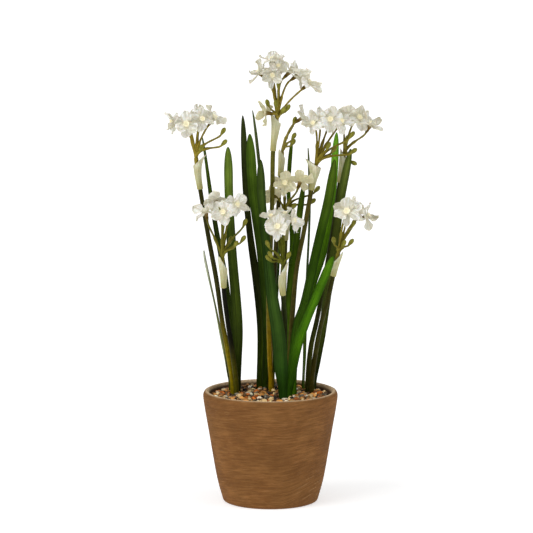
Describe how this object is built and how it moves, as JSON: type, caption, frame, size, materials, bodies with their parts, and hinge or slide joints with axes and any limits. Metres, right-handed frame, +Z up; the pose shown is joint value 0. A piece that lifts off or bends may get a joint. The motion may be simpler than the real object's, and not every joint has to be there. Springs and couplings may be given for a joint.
{
  "type": "potted paperwhite narcissus",
  "caption": "Paperwhite narcissus with strap leaves and clustered white florets, standing in a gravel-filled clay-brown pot.",
  "frame": {"origin": "middle of the pot's flat base, on the floor plane", "axes": "+Z up along the pot's axis, -Y towards the viewer of the picture, +X to the viewer's right"},
  "size_m": [0.2345, 0.1492, 0.4999],
  "materials": {
    "pot_clay_brown": "matt, brushed brown wash over clay with a pale worn lip",
    "gravel_mixed": "small polished pebbles in tan, white, grey and dark brown",
    "leaf_green": "waxy, finely ribbed along its length",
    "bright_leaf_green": "waxy, finely ribbed, lit through",
    "stem_olive": "smooth, softly waxy",
    "sheath_cream": "dry, papery, finely lined",
    "floret_white": "silky, thin, faintly veined"
  },
  "bodies": {
    "root": {"floret_low_middle": "floret_white", "floret_low_top": "floret_white", "florets_back": "floret_white", "florets_far_left": "floret_white", "florets_far_right": "floret_white", "florets_front": "floret_white", "florets_inner_right": "floret_white", "florets_low_left": "floret_white", "florets_low_right": "floret_white", "florets_middle": "floret_white", "florets_top": "floret_white", "gravel": "gravel_mixed", "leaf_back_low": "bright_leaf_green", "leaf_back_middle": "bright_leaf_green", "leaf_far_right": "leaf_green", "leaf_front_bright": "bright_leaf_green", "leaf_front_dark": "leaf_green", "leaf_inner_right": "leaf_green", "leaf_long_right": "leaf_green", "leaf_narrow_left": "leaf_green", "leaf_pale_right": "bright_leaf_green", "leaf_round_left": "leaf_green", "leaf_tall_dark": "leaf_green", "leaf_tall_green": "leaf_green", "leaf_tall_thin": "leaf_green", "leaf_thin_left": "leaf_green", "leaf_thin_right": "leaf_green", "pot": "pot_clay_brown", "sheath_back": "sheath_cream", "sheath_far_left": "sheath_cream", "sheath_far_right": "sheath_cream", "sheath_front": "sheath_cream", "sheath_inner_right": "sheath_cream", "sheath_low_left": "sheath_cream", "sheath_low_right": "sheath_cream", "sheath_middle": "sheath_cream", "sheath_top": "sheath_cream", "stem_back": "stem_olive", "stem_far_left": "stem_olive", "stem_far_right": "stem_olive", "stem_front": "stem_olive", "stem_inner_right": "stem_olive", "stem_low_left": "stem_olive", "stem_low_right": "stem_olive", "stem_middle": "stem_olive", "stem_top": "stem_olive"}
  },
  "joints": []
}
